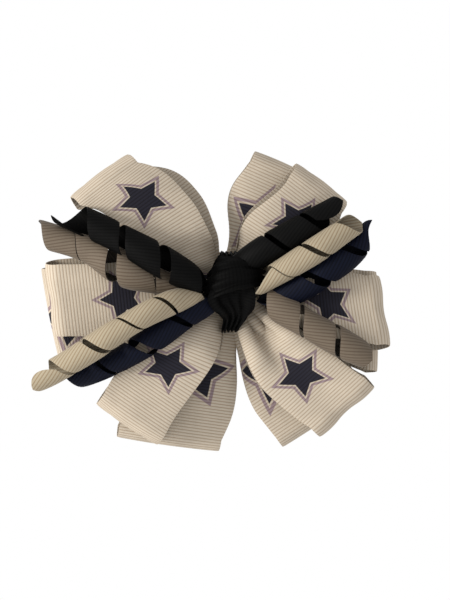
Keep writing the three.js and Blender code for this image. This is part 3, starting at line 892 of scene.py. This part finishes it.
def cloth_colour(nodes, crown, groove, depth, inside, printed, fibre):
    """Rib crowns, painted shade in the grooves between them (darker and warmer), uneven dye, painted shade on
    the inside and, if it is printed, stars.
    """
    u, v = nodes.uv("weave")
    # Painted shade: the grooves between the ribs are multiplied by the groove tint, standing in for the shade
    # that falls in them
    phase = nodes.math("FRACT", nodes.math("ADD", nodes.math("DIVIDE", u, RIB_PITCH), 40.0))
    from_crown = nodes.math("ABSOLUTE", nodes.math("SUBTRACT", phase, 0.5))
    painted_groove_shade = nodes.math("MULTIPLY", nodes.step(from_crown, 0.2, 0.5), depth)
    patchy = nodes.noise(160.0, 3.0, nodes.position())
    tone = nodes.mix(nodes.step(patchy, 0.3, 0.75), crown, darker(crown, 0.9))
    tone = nodes.mix(nodes.math("MULTIPLY", fibre, 0.25), tone, darker(crown, 0.72))
    # Painted shade: the inside face, marked by INSIDE, is darkened by the share given as inside, standing in
    # for the shade inside the loops and curls
    tone = nodes.mix(nodes.math("GREATER_THAN", v, INSIDE / 2), tone, darker(crown, inside))
    if printed:
        tone = printed_motif(nodes, tone)
    # The painted groove shade goes on last, over the print
    return nodes.mix(painted_groove_shade, tone, nodes.mix(1.0, tone, groove, "MULTIPLY"))


def grosgrain(name, crown, groove, depth=0.75, sheen=0.1, roughness=0.75, shine=0.3, inside=0.4):
    """Ribbed ribbon with fine warp threads."""
    nodes = Nodes(name + "_grosgrain")
    fibre = nodes.noise(2600.0, 2.0, nodes.position())
    cloth = cloth_colour(nodes, colour(*crown), colour(*groove), depth, inside, name == "printed", fibre)
    nodes.link(cloth, nodes.shader.inputs["Base Color"])
    nodes.shader.inputs["Roughness"].default_value = roughness
    nodes.shader.inputs["Sheen Weight"].default_value = sheen
    nodes.shader.inputs["Sheen Roughness"].default_value = 0.4
    nodes.shader.inputs["Specular IOR Level"].default_value = shine
    _, v = nodes.uv("weave")
    warp = nodes.math("SINE", nodes.math("MULTIPLY", v, 2 * math.pi / THREADS_APART))
    nodes.bump(nodes.math("MULTIPLY_ADD", warp, 0.35, fibre), 0.35, 0.00006)
    return nodes.material


# The pressed ridges of the clip's tails: their pitch, and where along x they begin and end
GRIP = {"pitch": 1.3 * MM, "from": 14 * MM, "to": 23 * MM}


def metal(name, tint, roughness):
    """Nickel plate with finger smudges, fine scratches and pressed ridges where the tails are squeezed."""
    nodes = Nodes(name)
    position = nodes.position()
    smudge = nodes.noise(220.0, 4.0, position)
    split = nodes.node("ShaderNodeSeparateXYZ")
    nodes.link(position, split.inputs[0])
    x = split.outputs[0]
    wave = nodes.math("SINE", nodes.math("MULTIPLY", x, 2 * math.pi / GRIP["pitch"]))
    on_tail = nodes.math("MULTIPLY", nodes.step(x, GRIP["from"], GRIP["from"] + MM),
                         nodes.fade(x, GRIP["to"] - MM, GRIP["to"]))
    ridges = nodes.math("MULTIPLY", nodes.step(wave, -0.4, 0.4), on_tail)
    nodes.link(nodes.mix(smudge, tint, darker(tint, 0.8)), nodes.shader.inputs["Base Color"])
    nodes.shader.inputs["Metallic"].default_value = 1.0
    rough = nodes.node("ShaderNodeMapRange")
    nodes.link(smudge, rough.inputs[0])
    rough.inputs["To Min"].default_value = roughness - 0.08
    rough.inputs["To Max"].default_value = roughness + 0.14
    nodes.link(rough.outputs[0], nodes.shader.inputs["Roughness"])
    nodes.bump(nodes.math("MULTIPLY_ADD", nodes.noise(900.0, 2.0, position), 0.06, ridges), 0.8, 0.0002)
    return nodes.material


def waxed_thread(name, tint):
    """Two dark plies twisted together, with painted shade in the groove between them."""
    nodes = Nodes(name)
    u, v = nodes.uv("weave")
    twist = nodes.math("SINE", nodes.math("MULTIPLY_ADD", u, 9.0, nodes.math("MULTIPLY", v, 8.0)))
    ply = nodes.math("MULTIPLY_ADD", twist, 0.5, 0.5)
    # Painted shade: darker where the bump sinks between the plies
    nodes.link(nodes.mix(ply, darker(tint, 0.5), tint), nodes.shader.inputs["Base Color"])
    nodes.shader.inputs["Roughness"].default_value = 0.55
    nodes.bump(ply, 0.5, 0.00005)
    return nodes.material


def hot_glue(name):
    """Cloudy, slightly yellow glue."""
    nodes = Nodes(name)
    cloud = nodes.noise(420.0, 3.0, nodes.position())
    tone = nodes.mix(cloud, colour(222, 210, 176), colour(196, 182, 146))
    nodes.link(tone, nodes.shader.inputs["Base Color"])
    nodes.shader.inputs["Roughness"].default_value = 0.3
    nodes.shader.inputs["Subsurface Weight"].default_value = 0.3
    nodes.shader.inputs["Subsurface Scale"].default_value = 0.001
    nodes.bump(cloud, 0.3, 0.0001)
    return nodes.material


# ---- Camera, light and floor, in metres ----

VIEW_CENTRE = (-0.0021, -0.015, -0.0039)
VIEW_HEIGHT = 0.180
VIEW_DISTANCE = 0.75
KEY_LIGHT = {"location": (-0.56, -0.3, 0.04), "size": 0.2, "power": 4.3, "tint": (1.0, 0.97, 0.92)}
FLOOR_RADIUS = 1.6
FLOOR_DROP = 0.27  # under the bow, which doesn't stand on it


def add_camera():
    """Straight in front of the bow, level with its middle."""
    data = bpy.data.cameras.new("camera")
    camera = bpy.data.objects.new("camera", data)
    bpy.context.scene.collection.objects.link(camera)
    data.sensor_fit = "VERTICAL"
    data.sensor_height = 24.0
    data.lens = data.sensor_height * VIEW_DISTANCE / VIEW_HEIGHT
    x, y, z = VIEW_CENTRE
    camera.location = (x, y - VIEW_DISTANCE, z)
    camera.rotation_euler = (math.pi / 2, 0, 0)
    data.clip_start = 0.01
    data.clip_end = 20
    bpy.context.scene.camera = camera


def add_light(name, location, size, power, tint):
    """A soft round lamp aimed at the bow."""
    data = bpy.data.lights.new(name, "AREA")
    data.shape = "DISK"
    data.size = size
    data.energy = power
    data.color = tint
    light = bpy.data.objects.new(name, data)
    bpy.context.scene.collection.objects.link(light)
    light.location = location
    aim = Vector((0, -0.01, 0)) - light.location
    light.rotation_euler = aim.to_track_quat("-Z", "Y").to_euler()


def add_floor():
    """A pale round floor."""
    floor = bmesh.new()
    bmesh.ops.create_circle(floor, cap_ends=True, segments=96, radius=FLOOR_RADIUS)
    mesh = bpy.data.meshes.new("floor")
    floor.to_mesh(mesh)
    floor.free()
    obj = bpy.data.objects.new("floor", mesh)
    obj.location.z = CAD_BOX[0][2] - FLOOR_DROP
    bpy.context.scene.collection.objects.link(obj)
    nodes = Nodes("floor")
    nodes.shader.inputs["Base Color"].default_value = (0.92, 0.92, 0.92, 1)
    nodes.shader.inputs["Roughness"].default_value = 0.9
    mesh.materials.append(nodes.material)


def add_studio():
    """A white room with one lamp, in front of the bow and to the viewer's left."""
    bpy.context.scene.view_settings.view_transform = "Standard"
    world = bpy.data.worlds.new("studio")
    bpy.context.scene.world = world
    world.use_nodes = True
    background = world.node_tree.nodes["Background"]
    background.inputs["Color"].default_value = (1, 1, 1, 1)
    background.inputs["Strength"].default_value = 1.0
    add_light("key", **KEY_LIGHT)
    add_floor()


# ---- The bow ----

def place(piece, node, body="bow"):
    """Let a piece stand for a CAD node, on a body unless it is blended over two."""
    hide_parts(node)
    if body:
        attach(piece, body)


def soften(node):
    """Round a stamped part's edges a little."""
    bevel = node.modifiers.new("edges", "BEVEL")
    bevel.width = 0.12 * MM
    bevel.segments = 2
    bevel.limit_method = "ANGLE"
    bevel.angle_limit = math.radians(40)


def add_ribbons(looks):
    """The loops, the curls and the knot."""
    for strip in STRIPS:
        piece, length = ribbon_strip(strip, looks["printed"])
        place(piece, strip["name"])
    for strip in CURLS:
        piece, length = curl_strip(strip, looks[strip["colour"]])
        place(piece, strip["name"])
    piece, length = knot(looks["black"])
    place(piece, "centre_knot")


def add_clip(black):
    """The clip's lining and wound spring, and the CAD's own arms and pin in nickel."""
    piece, (width, length) = lining(black)
    place(piece, "clip_lining")
    nickel = metal("nickel_plate", (0.72, 0.72, 0.74, 1), 0.28)
    coil = spring(nickel)
    place(coil, "torsion_spring", None)
    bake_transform(coil)
    for node in ("clip_upper_arm", "clip_lower_arm", "hinge_pin"):
        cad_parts[node].data.materials[0] = nickel
        soften(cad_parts[node])


def build():
    """Every piece, from the front of the bow to the back."""
    looks = {name: grosgrain(name, **look) for name, look in RIBBONS.items()}
    add_ribbons(looks)
    place(thread(waxed_thread("waxed_thread", colour(40, 38, 36))), "binding_thread")
    place(glue(hot_glue("hot_glue")), "glue_pad")
    add_clip(looks["black"])


add_camera()
add_studio()
build()
